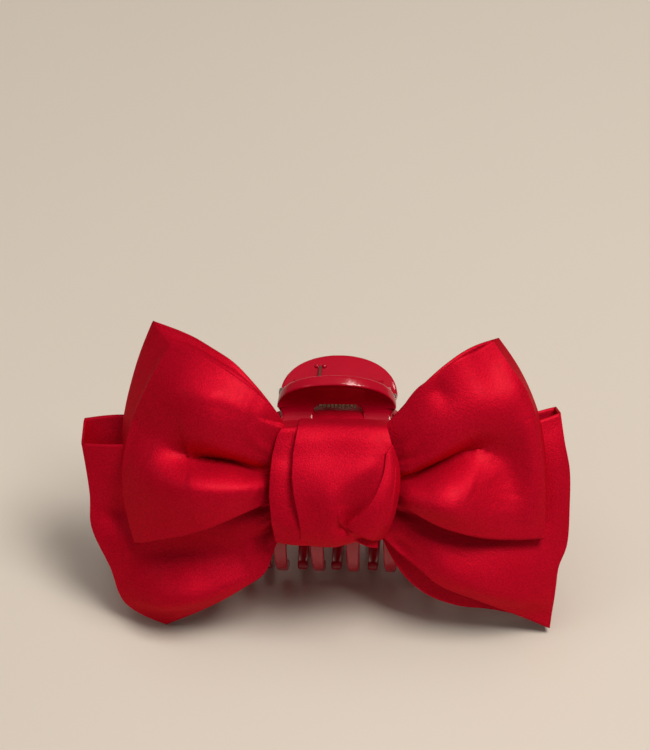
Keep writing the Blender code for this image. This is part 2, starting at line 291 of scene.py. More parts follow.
def satin_material():
    """Woven sheen: a tinted metal-like gloss, broken up by a fine grain."""
    deep, bright = (0.50, 0.0015, 0.015, 1), (0.64, 0.005, 0.028, 1)
    m = Nodes("satin")
    where = m.add("ShaderNodeTexCoord").outputs["Object"]
    slub = m.add("ShaderNodeTexNoise", {"Vector": where, "Scale": 900, "Detail": 2})
    cloudy = m.add("ShaderNodeTexNoise", {"Vector": where, "Scale": 60, "Detail": 3})
    tint = m.add(
        "ShaderNodeMixRGB",
        {"Fac": cloudy.outputs["Fac"], "Color1": deep, "Color2": bright},
    )
    rough = m.add(
        "ShaderNodeMapRange",
        {"Value": slub.outputs["Fac"], "To Min": 0.50, "To Max": 0.62},
    )
    grain = m.add(
        "ShaderNodeTexNoise",
        {"Vector": where, "Scale": 2200, "Detail": 3, "Roughness": 0.7},
    )
    bump = m.add(
        "ShaderNodeBump",
        {"Height": grain.outputs["Fac"], "Strength": 0.6, "Distance": 0.0003},
    )
    glint = m.add(
        "ShaderNodeMapRange",
        {
            "Value": grain.outputs["Fac"],
            "From Min": 0.3,
            "From Max": 0.7,
            "To Min": 0.80,
            "To Max": 1.20,
        },
    )
    thread = m.add(
        "ShaderNodeVectorMath",
        {0: tint.outputs["Color"], "Scale": glint.outputs["Result"]},
        operation="SCALE",
    )
    m.set(
        Base_Color=thread.outputs["Vector"],
        Roughness=rough.outputs["Result"],
        Normal=bump.outputs["Normal"],
        Metallic=0.62,
        Coat_Weight=0.05,
        Coat_Roughness=0.42,
        Specular_IOR_Level=0.05,
        Specular_Tint=(1.0, 0.12, 0.16, 1),
    )
    return m.material


def plastic_material(name, colour):
    """Glossy moulded plastic with faint flow marks."""
    m = Nodes(name)
    where = m.add("ShaderNodeTexCoord").outputs["Object"]
    flow = m.add("ShaderNodeTexNoise", {"Vector": where, "Scale": 120, "Detail": 2})
    deep = tuple(c * 0.8 for c in colour[:3]) + (1,)
    tint = m.add("ShaderNodeMixRGB", {"Fac": flow.outputs["Fac"], "Color1": colour, "Color2": deep})
    ripple = m.add("ShaderNodeTexNoise", {"Vector": where, "Scale": 260, "Detail": 1})
    bump = m.add(
        "ShaderNodeBump",
        {"Height": ripple.outputs["Fac"], "Strength": 0.06, "Distance": 0.0002},
    )
    m.set(
        Base_Color=tint.outputs["Color"],
        Roughness=0.16,
        Normal=bump.outputs["Normal"],
        IOR=1.46,
    )
    return m.material


def metal_material(name, colour, roughness):
    """Drawn or turned metal."""
    m = Nodes(name)
    where = m.add("ShaderNodeTexCoord").outputs["Object"]
    drawn = m.add("ShaderNodeTexNoise", {"Vector": where, "Scale": 1500, "Detail": 2})
    rough = m.add(
        "ShaderNodeMapRange",
        {"Value": drawn.outputs["Fac"], "To Min": roughness * 0.8, "To Max": roughness * 1.3},
    )
    tint = m.add(
        "ShaderNodeMixRGB",
        {
            "Fac": drawn.outputs["Fac"],
            "Color1": colour,
            "Color2": tuple(c * 0.8 for c in colour[:3]) + (1,),
        },
    )
    m.set(Base_Color=tint.outputs["Color"], Metallic=1.0, Roughness=rough.outputs["Result"])
    return m.material


SATIN = satin_material()
PLASTIC = plastic_material("clip_plastic", (0.44, 0.001, 0.018, 1))
STEEL = metal_material("spring_steel", (0.62, 0.52, 0.36, 1), 0.3)
PIN = metal_material("pin_steel", (0.7, 0.66, 0.6, 1), 0.25)
THREAD = plastic_material("thread", (0.35, 0.002, 0.012, 1))
GLUE = plastic_material("glue", (0.8, 0.76, 0.66, 1))

# ---------------------------------------------------------------- bow loops

UP = 72
FRONT_ACROSS = 70
REAR_ACROSS = 60
SIDE_ACROSS = 9
BACK_ACROSS = 46


def side_and_back(bottom, top, crease, back_rim, back_low, back_top):
    """The narrow panel beyond a loop's outer crease, and the loop's back."""
    low_end, high_end = [bottom[-1], back_rim[0]], [top[-1], back_rim[-1]]
    side = patch(low_end, high_end, crease, back_rim, SIDE_ACROSS, UP)
    heart = [back_low[-1], back_top[-1]]
    back = patch(back_low, back_top, back_rim, heart, BACK_ACROSS, UP)
    return [side, back]


def front_left_loop():
    """Front bow, on the viewer's left: face, side panel and back."""
    bottom = [
        (-12, -14, 43), (-17, -15, 41), (-21.7, -17, 39.7), (-35.6, -18, 33.8), (-51.6, -12, 28),
        (-56.3, -8, 26.4),
    ]
    top = [
        (-12, -13, 60), (-16, -14, 67), (-22.8, -15, 73.8), (-30, -14, 78.6), (-37, -11, 81.9),
        (-45.3, -6, 83.8),
    ]
    crease = [
        (-56.3, -8, 26.4), (-59, -8.5, 40), (-59.1, -8.5, 49.5), (-56.4, -8, 61.6),
        (-50.7, -7, 74.5), (-45.3, -6, 83.8),
    ]
    front = patch(bottom, top, [bottom[0], top[0]], crease, FRONT_ACROSS, UP)
    # Upper lobe, lower lobe, the crease between them, a dimple below the top edge.
    front = fold(
        front,
        [
            (-22, 66, 2.5, 10, 5), (-32, 70, 5.5, 14, 6), (-42, 72, 5.5, 15, 7),
            (-50, 69, 3, 13, 8), (-57, 64, 0, 8, 8),
        ],
    )
    front = fold(
        front,
        [
            (-16, 44.5, 1, 5, 2.5), (-26, 45.5, 4.5, 8, 3.5), (-38, 46, 6.5, 12, 6),
            (-50, 48, 4.5, 13, 8), (-58, 50, 1, 10, 8),
        ],
    )
    front = fold(
        front,
        [
            (-14, 47.0, -2.5, 1.0, 2.4), (-20, 48.3, -6, 1.0, 2.6), (-28, 49.8, -8.5, 1.3, 3.2),
            (-36, 51.3, -7.5, 2.2, 4.2), (-42, 53.5, -4, 4, 5), (-48, 57, 0, 6, 6),
        ],
        lap=2.2,
    )
    front = fold(
        front,
        [
            (-33, 72, 0, 3, 3), (-30.5, 69.5, -0.7, 3, 3), (-27, 67.5, -0.4, 3, 3),
            (-24, 66.5, 0, 3, 3),
        ],
    )
    front = pleats(front, (-14, 51), 0.28, 9, 0.6, 5)
    back_rim = [(-56.5, -6, 27), (-59.8, -4, 42), (-60.2, -1, 58), (-56.5, 2, 75), (-51.5, 3, 88.1)]
    back_top = [
        back_rim[-1],
        (-40.5, -3, 85.4),
        (-34.2, -7, 82.8),
        (-27.7, -10.5, 79.4),
        (-22.1, -12, 74.0),
        (-16.7, -12.6, 67.4),
        (-12, -12, 60),
    ]
    back_low = [back_rim[0], (-42, -10, 31), (-24, -13, 38), (-12, -13, 43)]
    return [front] + side_and_back(bottom, top, crease, back_rim, back_low, back_top)


def front_left_tuck():
    """The loop's upper edges lie together, so the cloth between them shows as a shallow fold."""
    near = [
        (-45.6, -5.2, 83.2), (-37, -10.3, 81.3), (-30, -13.2, 78.0), (-22.8, -14.2, 73.2),
        (-16.5, -13.4, 66.4),
    ]
    far = [
        (-51.2, 2.4, 86.9), (-40.5, -3.4, 84.7), (-34.2, -7.3, 82.2), (-27.7, -10.7, 78.8),
        (-22.1, -12.2, 73.5), (-16.9, -12.8, 66.9),
    ]
    along, across = 70, 22
    start, end = [near[0], (-48.5, -1.8, 84.4), far[0]], [near[-1], far[-1]]
    roof = patch(near, far, start, end, along, across)
    u = np.linspace(0, 1, along)[:, None]
    v = np.linspace(0, 1, across)[None]
    # A groove near the far edge, a low swell before it, and puckers along the near edge.
    roof[..., 2] -= 0.7 * np.exp(-(((v - 0.72) / 0.14) ** 2)) * (0.6 + 0.4 * u)
    roof[..., 2] += 0.35 * np.sin(math.pi * np.clip(v / 0.6, 0, 1))
    puckers = np.sin(26 * u) * np.exp(-(((u - 0.45) / 0.2) ** 2))
    roof[..., 2] += 0.12 * puckers * (1 - v)
    return [roof]


def front_right_loop():
    """Front bow, on the viewer's right: face, side panel and back."""
    bottom = [
        (12, -14, 44), (17.8, -15.5, 42.2), (23, -17, 39.3), (29.1, -18, 35.9), (36.1, -17, 33.4),
        (44.5, -14, 30.9), (58.9, -9, 29.5),
    ]
    top = [
        (12, -13, 60), (17.7, -14, 66.1), (23.3, -15, 73.8), (27.6, -15, 77), (34.4, -14, 82),
        (39.9, -10, 83.8), (43.7, -7, 85.8),
    ]
    crease = [
        (58.9, -9, 29.5), (59, -9, 39.7), (58.6, -9, 47.9), (57.3, -9, 59.7), (55.4, -9, 67.1),
        (52.5, -9, 73.7), (48.5, -8, 79.1), (43.7, -7, 85.8),
    ]
    front = patch(bottom, top, [bottom[0], top[0]], crease, FRONT_ACROSS, UP)
    # Upper lobe, ridge along the outer edge, lower lobe, crease that turns down into a hollow,
    # and a dimple below the top edge.
    front = fold(
        front,
        [(24, 60, 0.8, 8, 9), (36, 65, 1.4, 10, 10), (46, 69, 1.4, 9, 9), (53, 70, 0, 8, 9)],
    )
    front = fold(
        front,
        [
            (45.5, 81, 0, 2, 2.5), (51, 72, 1.8, 3, 5), (55, 62, 2.8, 3, 6), (56.5, 50, 3.0, 3, 6),
            (56.5, 40, 2.2, 3, 5.5), (56, 33, 0.3, 3, 4),
        ],
    )
    front = fold(
        front,
        [
            (16, 43.5, 0.5, 3, 3), (25, 42.5, 4.5, 6, 4), (33, 41.5, 6.2, 9, 5),
            (41, 38, 3.6, 9, 6), (50, 34, 0.8, 7, 5),
        ],
    )
    front = fold(
        front,
        [
            (14, 45.8, -2.0, 1.0, 1.4), (19, 47.8, -4.5, 1.0, 1.8), (24.6, 50.6, -6.5, 1.1, 3.0),
            (33, 55.0, -7.5, 1.8, 5), (41, 56, -5.0, 5, 6), (47, 52, -3.0, 8, 8),
            (49, 46, -2.0, 7, 9), (48.5, 38, 0, 6, 8),
        ],
        lap=1.8,
    )
    front = fold(front, [(27, 75, 0, 3, 3), (29.5, 73, -0.8, 2.6, 2.6), (33, 69, 0, 3, 3)])
    front = pleats(front, (14, 51), 0.28, 9, 1.7, 5)
    back_rim = [(59, -6, 30), (59.5, -4, 48), (57.5, -2, 62), (52.5, -1, 74.5), (45.5, -3, 85.5)]
    back_top = [
        back_rim[-1],
        (38, -4, 83),
        (31, -8, 79),
        (24, -11, 73),
        (17.5, -13, 66),
        (12, -13, 60),
    ]
    back_low = [back_rim[0], (42, -10, 32), (24, -13, 39), (12, -13, 44)]
    return [front] + side_and_back(bottom, top, crease, back_rim, back_low, back_top)


def rear_left_loop():
    """Rear bow, on the viewer's left: face, side panel and back."""
    bottom = [
        (-12, -12, 34), (-15.8, -12, 27.9), (-19.3, -12, 19.1), (-25.5, -10, 14.3), (-38.3, -5, 6),
        (-48.5, 0, -0.2),
    ]
    top = [(-12, -11, 57), (-30, -11, 60), (-46, -9, 57.5), (-59, -6, 54.5), (-71.7, -2, 53.6)]
    crease = [
        (-48.5, 0, -0.2), (-60.2, 0, 6.2), (-64.1, -2, 17.1), (-69.4, -2, 29.3), (-69.6, -2, 38.4),
        (-71.7, -2, 53.6),
    ]
    front = patch(bottom, top, [bottom[0], top[0]], crease, REAR_ACROSS, UP)
    # Lower lobe, shallow valley above it, dent in the outer edge, small crease beside the knot.
    front = fold(
        front,
        [
            (-24, 19, 1, 3, 5), (-33, 14, 4.5, 4, 7), (-42, 10.5, 7, 4.5, 9), (-50, 8.5, 6, 4.5, 9),
            (-57, 9, 2.5, 4, 8), (-61, 10, 0.5, 4, 6),
        ],
    )
    front = fold(
        front,
        [(-18, 30, 0, 5, 5), (-32, 25, -2.2, 7, 6), (-46, 22, -2.8, 8, 6), (-58, 22, 0, 7, 6)],
    )
    front = fold(
        front,
        [(-54, 34, -2.5, 5, 6), (-61, 33, -3.5, 5, 6), (-67, 33, -1, 5, 5), (-70, 33, 0, 5, 5)],
    )
    front = fold(
        front,
        [(-14, 34, -1.5, 1.5, 1.5), (-19, 30.5, -1.6, 1.5, 1.8), (-25, 27, 0, 3, 3)],
    )
    front = pleats(front, (-12, 40), 0.5, 8, 0.3, 6)
    back_rim = [(-47.5, 2.5, 0.8), (-60.5, 6, 8), (-66, 7, 20), (-70.5, 8, 38), (-72.2, 8, 58.4)]
    back_top = [back_rim[-1], (-59.5, 4, 60.5), (-46, -7.6, 60), (-30, -8.4, 60), (-12, -9, 57)]
    back_low = [back_rim[0], (-40, -4, 7), (-30, -8, 14), (-20, -9.5, 22), (-12, -10, 34)]
    return [front] + side_and_back(bottom, top, crease, back_rim, back_low, back_top)


def rear_right_loop():
    """Rear bow, on the viewer's right: face, side panel and back."""
    bottom = [
        (12, -12, 33), (17.8, -11.5, 25.9), (23.5, -11, 21.5), (30.4, -10, 16), (39.1, -7, 11.9),
        (50.8, -3, 5.9), (61.2, 0, 0.3),
    ]
    top = [(12, -11, 57), (30, -11, 60), (46, -8, 61), (56, -4, 62), (63.1, -1, 63.9)]
    crease = [
        (61.2, 0, 0.3), (62.6, -1, 13.5), (63.3, -2, 19.7), (65.5, -2, 25.8), (66.1, -2, 37.8),
        (65.9, -2, 47.9), (64.4, -2, 55.7), (63.1, -1, 63.9),
    ]
    front = patch(bottom, top, [bottom[0], top[0]], crease, REAR_ACROSS, UP)
    # Lower lobe, small crease beside the knot, ridge along the outer edge.
    front = fold(
        front,
        [
            (19, 29, 0.8, 5, 4), (30, 22, 3.5, 9, 5), (42, 16, 6, 13, 5), (54, 12, 5.5, 14, 5),
            (62, 11, 2.5, 12, 5),
        ],
    )
    front = fold(
        front,
        [(15, 31, 0, 2, 2), (18.5, 28.5, -1.5, 2.0, 2.4), (24, 24, -1.4, 3, 3), (30, 20, 0, 3, 3)],
    )
    front = fold(
        front,
        [
            (61.5, 60, 0, 3, 4), (62.5, 50, 1.0, 3, 3), (63, 36, 1.2, 3, 3), (62, 24, 0.6, 3, 3),
            (61.5, 12, 0, 3, 3),
        ],
    )
    front = pleats(front, (12, 40), 0.45, 8, 1.1, 6)
    back_rim = [(60.6, 2.5, 1.6), (64, 6, 20), (65.5, 7, 40), (62, 6, 63.9)]
    back_top = [back_rim[-1], (56, 4, 62.6), (46, -7.4, 61), (30, -8.4, 60), (12, -9, 57)]
    back_low = [
        back_rim[0],
        (44.9, 3, 4.7),
        (34.5, -1, 7.1),
        (25.7, -4, 11.4),
        (18.9, -7.5, 18.8),
        (12, -10, 33),
    ]
    return [front] + side_and_back(bottom, top, crease, back_rim, back_low, back_top)


LOOPS = {
    "front_bow_left": (front_left_loop, "front_bow", (0.058, 0.095)),
    "front_bow_right": (front_right_loop, "front_bow", (0.058, 0.095)),
    "rear_bow_left": (rear_left_loop, "rear_bow", (0.062, 0.110)),
    "rear_bow_right": (rear_right_loop, "rear_bow", (0.062, 0.110)),
}
for name, (make, node, flat) in LOOPS.items():
    piece = cloth(name, make())
    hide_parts(node)
tuck = cloth("front_bow_left_tuck", front_left_tuck())

# ---------------------------------------------------------------- clip

# Lengths here are in drawn millimetres. SHELL is the plastic's thickness, TAB_ARCH the tab's half
# width and the height where its arch begins, and HALF_PROFILE the bend of one half: steps out from
# the pin and up from it.
SHELL = 2.6
TAB_ARCH = (17.0, 62.5)
BODY_HALF = 42.0
HALF_PROFILE = [
    (14.0, 8.4),
    (9.6, 4.5),
    (6.6, 0.4),
    (6.3, -3.6),
    (9.2, -8.0),
    (14.6, -12.6),
    (19.2, -19.5),
    (21.0, -28.0),
    (19.2, -37.0),
    (14.0, -44.6),
    (6.4, -49.2),
    (-1.2, -50.6),
]
WINDOW = (-6.6, 7.4, 57.4, 63.4)
TOOTH_PITCH = 10.6
TOOTH_TIP = 12.8
GUM = 43.0
TAB_RIM = 1.1
WINDOW_CORNER = 2.2
EDGE_ROUND = 0.5
VOXEL = 0.42
EAR_R = 3.7
EAR_REACH = (6.9, 8.2)
BORE_R = 1.25
BOSS_R = 0.75
COIL_R = 3.0
COIL_HALF = 5.5
COIL_TURNS = 10
COIL_STEPS = 40
LEG_END = (9.0, 6.6)
WIRE_R = 0.45


def half_path(side):
    """Middle line of one clip half in Y and Z, from its tab to a tooth's tip."""
    return spline([(PIN_Y + side * out, PIN_Z + up) for out, up in HALF_PROFILE], 400)


def jaw_outline(teeth, along):
    """One clip half seen from the front: arched tab, neck, shoulders and a comb of teeth."""
    tab = -along(TAB_ARCH[1])
    right = arc((0, tab), (TAB_ARCH[0], -tab), 90, 0, 40)
    low = [
        (16.6, 61.6), (15.9, 60.6), (15.6, 59.5), (16.2, 57.8), (17.5, 56.5), (24.0, 54.2),
        (34.0, 51.2),
    ]
    low += arc((BODY_HALF - 5, 44.5), (5, 5), 70, 0, 8)
    right += [(x, -along(z)) for x, z in low]
    left = [(-x, z) for x, z in right[1:]]
    comb = []
    for x in sorted(teeth, reverse=True):
        gum = GUM - 0.0012 * x * x
        lean = 0.4 * math.copysign(1, x)
        tooth = [(3.4, gum + 0.1), (2.7, gum - 0.7), (2.3, gum - 2.2), (1.5 - lean, TOOTH_TIP)]
        tooth += [(-1.5 - lean, TOOTH_TIP), (-2.3, gum - 2.2), (-2.7, gum - 0.7), (-3.4, gum + 0.1)]
        comb += [(x + across, -along(z)) for across, z in tooth]
    return right + comb + left[::-1]


def make_jaw(name, side, teeth, ears, window, bosses, body):
    """One clip half: cut out flat, bent along its profile, with pin ears and spring bosses added."""
    path = half_path(side)
    run = np.concatenate([[0], np.cumsum(np.linalg.norm(np.diff(path, axis=0), axis=1))])

    def along(z):
        """Length along the profile at a height."""
        return float(np.interp(-z, -path[:, 1], run))

    loops = [jaw_outline(teeth, along)]
    if window:
        r = WINDOW_CORNER
        x0, x1, z0, z1 = WINDOW
        corners = [(x1 - r, z1 - r), (x0 + r, z1 - r), (x0 + r, z0 + r), (x1 - r, z0 + r)]
        hole = []
        for quarter, corner in enumerate(corners):
            hole += arc(corner, (r, r), 90 * quarter, 90 * quarter + 90, 8)
        loops.append([(x, -along(z)) for x, z in hole])
    obj = bpy.data.objects.new(name, plate(name, loops, SHELL / 2, EDGE_ROUND))
    bpy.context.scene.collection.objects.link(obj)
    remesh = obj.modifiers.new("Remesh", "REMESH")
    remesh.mode = "VOXEL"
    remesh.voxel_size = VOXEL
    relax = obj.modifiers.new("Round", "SMOOTH")
    relax.factor = 0.5
    relax.iterations = 5
    settled(obj)
    slope = np.gradient(path, axis=0)
    slope /= np.linalg.norm(slope, axis=1)[:, None]
    points = np.empty(len(obj.data.vertices) * 3)
    obj.data.vertices.foreach_get("co", points)
    points = points.reshape(-1, 3)
    at = -points[:, 1]
    # The tab thickens towards its rim.
    tab = along(TAB_ARCH[1])
    rim = np.clip((points[:, 0] / TAB_ARCH[0]) ** 2 + ((tab - at) / tab) ** 2, 0, 1) ** 5
    points[:, 2] += TAB_RIM * rim * (at < tab) * (points[:, 2] > 0)
    y = np.interp(at, run, path[:, 0])
    z = np.interp(at, run, path[:, 1])
    beyond = np.maximum(at - run[-1], 0) + np.minimum(at, 0)
    dy = np.interp(at, run, slope[:, 0])
    dz = np.interp(at, run, slope[:, 1])
    y = y + dy * beyond - side * dz * points[:, 2]
    z = z + dz * beyond + side * dy * points[:, 2]
    bent = np.stack([points[:, 0], y, z], axis=1)
    obj.data.vertices.foreach_set("co", bent.ravel())
    if side > 0:
        obj.data.flip_normals()
    obj.data.update()
    extras = []
    for sign in (-1, 1):
        middle = sign * (ears[0] + ears[1]) / 2
        start, end = (60, -180) if side > 0 else (120, 360)
        boss = arc((PIN_Y, PIN_Z), (EAR_R, EAR_R), start, end, 30)
        boss += [(PIN_Y + side * EAR_REACH[0], 59.4), (PIN_Y + side * EAR_REACH[1], 67.2)]
        bore = arc((PIN_Y, PIN_Z), (BORE_R, BORE_R), 0, 345, 23)
        ear = plate(name + "_ear", [boss, bore], (ears[1] - ears[0]) / 2, 0.3)
        ear.transform(Matrix(((0, 0, 1, middle), (1, 0, 0, 0), (0, 1, 0, 0), (0, 0, 0, 1))))
        extras.append(ear)
    for x, share in bosses:
        bead = bmesh.new()
        bmesh.ops.create_uvsphere(bead, u_segments=20, v_segments=12, radius=BOSS_R)
        spot = int(np.searchsorted(run, share))
        normal = np.array([slope[spot][1], -slope[spot][0]]) * -side
        place = path[spot] - normal * (SHELL / 2)
        bmesh.ops.translate(bead, verts=bead.verts, vec=(x, place[0], place[1]))
        shape = bpy.data.meshes.new(name + "_boss")
        bead.to_mesh(shape)
        bead.free()
        extras.append(shape)
    for shape in extras:
        cutter = bpy.data.objects.new("extra", shape)
        bpy.context.scene.collection.objects.link(cutter)
        union = obj.modifiers.new("Union", "BOOLEAN")
        union.operation = "UNION"
        union.solver = "MANIFOLD"
        union.object = cutter
        settled(obj)
        bpy.data.objects.remove(cutter)
    obj.data.transform(STAND)
    obj.data.materials.clear()
    obj.data.materials.append(PLASTIC)
    obj.data.shade_smooth()
    obj.data.set_sharp_from_angle(angle=math.radians(50))
    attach(obj, body)
    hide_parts(name.replace("_shell", ""))


front_teeth = [TOOTH_PITCH * (k - 3.5) for k in range(8)]
rear_teeth = [TOOTH_PITCH * (k - 3) for k in range(7)]
make_jaw("front_jaw_shell", -1, front_teeth, (13.2, 15.3), True, [], "front_half")
rear_bosses = [(-6.6, 4.2), (-4.4, 4.2)]
make_jaw("rear_jaw_shell", 1, rear_teeth, (10.8, 12.9), False, rear_bosses, "rear_half")


def make_spring():
    """Coil round the pin, with a straight leg up the inner face of each thumb tab."""
    out, up = LEG_END
    reach = math.hypot(out, up)
    lean = math.atan2(up, out)
    first = lean + math.acos(COIL_R / reach)
    last = math.pi - lean - math.acos(COIL_R / reach) - 2 * math.pi * COIL_TURNS
    steps = COIL_TURNS * COIL_STEPS
    route = [(-COIL_HALF, PIN_Y + out, PIN_Z + up)]
    for k in range(steps + 1):
        angle = first + (last - first) * k / steps
        x = -COIL_HALF + 2 * COIL_HALF * k / steps
        route.append((x, PIN_Y + COIL_R * math.cos(angle), PIN_Z + COIL_R * math.sin(angle)))
    route.append((COIL_HALF, PIN_Y - out, PIN_Z + up))
    spring = wire("spring_coil", route, WIRE_R, STEEL)
    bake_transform(spring)
    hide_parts("torsion_spring")


make_spring()

# ---------------------------------------------------------------- knot

KNOT_MIDDLE = (-13.5, 46.0)


def ring_path(front, top, low, lift):
    """The way round both bows' middle, in Y and Z, starting and ending on the clip's side."""
    up_the_back = [(-7.6, 52), (-7.7, 60.2), (-9.0, 62.6)]
    over_the_top = [(-13.0, top - 0.1), (-16.2, top - 0.6), (front + 3.4, top - 3.2)]
    down_the_face = [
        (front + 1.9, top - 8), (front + 0.3, 51), (front - 0.8, 46), (front - 1.2, 41),
        (front - 0.8, 36), (front + 0.8, low + 3.4),
    ]
    underneath = [(-18.2, low + 0.6), (-13.5, low), (-9.0, low + 1.0), (-7.7, low + 3.5)]
    points = up_the_back + over_the_top + down_the_face + underneath + [(-7.6, 40), (-7.6, 50)]
    ring = spline(points, 260)
    away = ring - np.array(KNOT_MIDDLE)
    away /= np.linalg.norm(away, axis=1)[:, None]
    return ring + away * lift


def band(left, right, front, top, low, lift, across):
    """A strip wound round the ring; left and right give its edges' X by height."""
    ring = ring_path(front, top, low, lift)
    left, right = np.array(left, float), np.array(right, float)
    z = ring[:, 1]
    x0 = np.interp(z, left[:, 1], left[:, 0])
    x1 = np.interp(z, right[:, 1], right[:, 0])
    u = np.linspace(0, 1, across)[:, None]
    x = x0 * (1 - u) + x1 * u
    y = np.repeat(ring[None, :, 0], across, axis=0)
    zz = np.repeat(z[None], across, axis=0)
    # Towards its sides the strip dips in to the knot's middle.
    dip = np.abs(x / 18.0) ** 4 * 1.4
    to_y, to_z = KNOT_MIDDLE[0] - y, KNOT_MIDDLE[1] - zz
    y = y + np.sign(to_y) * dip * np.minimum(1, np.abs(to_y) / 5)
    zz = zz + np.sign(to_z) * 0.5 * dip * np.minimum(1, np.abs(to_z) / 12)
    return np.stack([x, y, zz], axis=2)


def on_front(grid, line):
    """Folds only the part of a ring that faces the viewer."""
    before = grid.copy()
    after = fold(grid, line)
    share = np.clip((KNOT_MIDDLE[0] - before[..., 1:2]) / 3.0, 0, 1)
    return before + (after - before) * share


def make_knot():
    """Two strips round both bows, a fold that crosses in front and an end that is tucked under."""
    pieces = []
    left = [
        (-15.4, 28), (-16.6, 35.3), (-17.3, 43.8), (-17.1, 49.6), (-16.6, 55.2), (-15.2, 60.8),
        (-12.9, 64), (-12.5, 66),
    ]
    inner = [(-5.5, 27), (-6, 35), (-7.5, 44), (-9, 52), (-8.4, 60), (-7.5, 65)]
    strip = band(left, inner, -20.6, 62.6, 29.2, 0.0, 40)
    strip = on_front(
        strip,
        [(-10.4, 40, -0.6, 4, 3), (-11.2, 50, -0.9, 3, 3), (-10, 61, -0.5, 3, 3)],
    )
    strip = on_front(
        strip,
        [(-9, 29, 1.1, 5, 5), (-9.5, 33, 1.1, 4, 4), (-10.5, 37, 0.5, 3, 3), (-11, 41, 0, 3, 3)],
    )
    pieces.append(("knot_left_strip", [strip], "knot_band", (0.010, 0.080), None))
    edge = [
        (-8.4, 27), (-8.5, 35), (-9.1, 39.1), (-10.3, 44.8), (-10.9, 50), (-10.7, 56), (-9.9, 61),
        (-9.1, 65),
    ]
    right = [
        (11.0, 28), (13.0, 31.6), (15.6, 35.8), (17.0, 41.5), (17.8, 48.7), (17.7, 52.9),
        (16.9, 57.6), (15.8, 61.2), (14.6, 64.5),
    ]
    main = band(edge, right, -21.8, 63.1, 28.9, 0.35, 150)
    # The lower edge hangs lowest a little left of the middle.
    lower = np.clip((37 - main[..., 2]) / 6, 0, 1)
    rise = 0.28 * np.maximum(main[..., 0] - 1, 0) + 0.09 * np.maximum(-3 - main[..., 0], 0)
    main[..., 2] += lower * rise
    # Valley along the crossing fold, steep against it and gentle on the other side.
    main = on_front(
        main,
        [
            (15.2, 56, 0, 3, 1), (14.0, 51, -0.7, 5, 1), (12.2, 46.5, -1.3, 6, 1.2),
            (9.6, 42, -1.9, 6, 1.5), (6.2, 38, -2.6, 4, 1.8), (4.0, 36, -2.8, 2.5, 2.4),
        ][::-1],
    )
    # Two soft ridges that meet in a V and carry the highlight.
    main = on_front(
        main,
        [
            (-10, 58, 0.3, 6, 6), (-4, 50, 0.5, 6, 6), (-1, 44, 0.9, 4, 4),
            (0.5, 38, 0.8, 3.5, 3.5), (0.2, 33, 0.4, 3, 3),
        ],
    )
    main = on_front(
        main,
        [
            (15, 57.5, 0.2, 3, 5), (9, 52.5, 1.0, 3.2, 5), (3, 48.2, 1.1, 4, 5),
            (-1, 43.5, 0.4, 4, 4),
        ],
    )
    # Short fold beside the valley's end, and a shallow dip at the top.
    main = on_front(
        main,
        [
            (2.6, 42.5, 0.0, 3, 0.5), (2.3, 39.6, 0.7, 2.6, 0.45), (3.2, 36.4, 1.1, 2.6, 0.45),
            (5.6, 34.2, 0.6, 2.6, 0.6),
        ],
    )
    main = on_front(main, [(-2, 64, -0.5, 7, 7), (0, 57, -0.35, 7, 7), (2, 51, -0.3, 6, 6)])
    pieces.append(("knot_main_strip", [main], "knot_overwrap", (0.027, 0.105), None))
    cross_line = [
        (4.3, -22.2, 36.0), (7.6, -23.7, 39.3), (10.5, -24.0, 42.6), (12.9, -23.2, 47.1),
        (14.4, -21.8, 51.4), (15.0, -19.9, 56.6),
    ]
    outer = [
        (13.9, -17.8, 31.4), (16.3, -19.0, 35.8), (17.9, -19.7, 41.5), (18.7, -19.2, 48.7),
        (18.3, -18.5, 53.0), (16.6, -18.3, 58.4),
    ]
    low = [cross_line[0], (7.5, -21.9, 34.0), (10.8, -20.7, 32.3), outer[0]]
    high = [cross_line[-1], (15.8, -19.4, 57.6), outer[-1]]
    flap = patch(low, high, cross_line, outer, 60, 70)
    swell = np.sin(np.linspace(0, math.pi, 60))[:, None] * np.linspace(1.2, 0.2, 70)[None]
    flap[..., 1] -= 0.9 * swell
    under_low = [(6.5, -19.0, 35.2), (9.0, -17.5, 31.6), (11.5, -14.5, 29.6), (13.2, -12.0, 29.8)]
    turned = patch(under_low, low, [under_low[0], low[0]], [under_low[-1], low[-1]], 60, 18)
    flap = np.concatenate([turned[:, :-1], flap], axis=1)
    pieces.append(("knot_crossing_fold", [flap], None, (0.012, 0.026), None))
    lug_top = [(5.4, -19.4, 34.3), (8.6, -19.2, 32.8), (12.6, -17.2, 31.0)]
    lug_low = [(6.0, -19.6, 31.9), (9.2, -19.6, 30.0), (12.6, -17.4, 28.7)]
    lug_back = [(6.5, -14.0, 30.6), (9.2, -13.6, 28.9), (12.3, -12.4, 28.2)]
    lug = patch(lug_low, lug_top, [lug_low[0], lug_top[0]], [lug_low[-1], lug_top[-1]], 26, 12)
    ends = [lug_back[0], lug_low[0]], [lug_back[-1], lug_low[-1]]
    lug_under = patch(lug_back, lug_low, *ends, 26, 14)
    lug = np.concatenate([lug_under[:, :-1], lug], axis=1)
    pieces.append(("knot_tucked_end", [lug], None, (0.010, 0.012), 0.00007))
    for name, grids, node, flat, area in pieces:
        obj = cloth(name, grids, KNOT_THICK)
        if node:
            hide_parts(node)


make_knot()


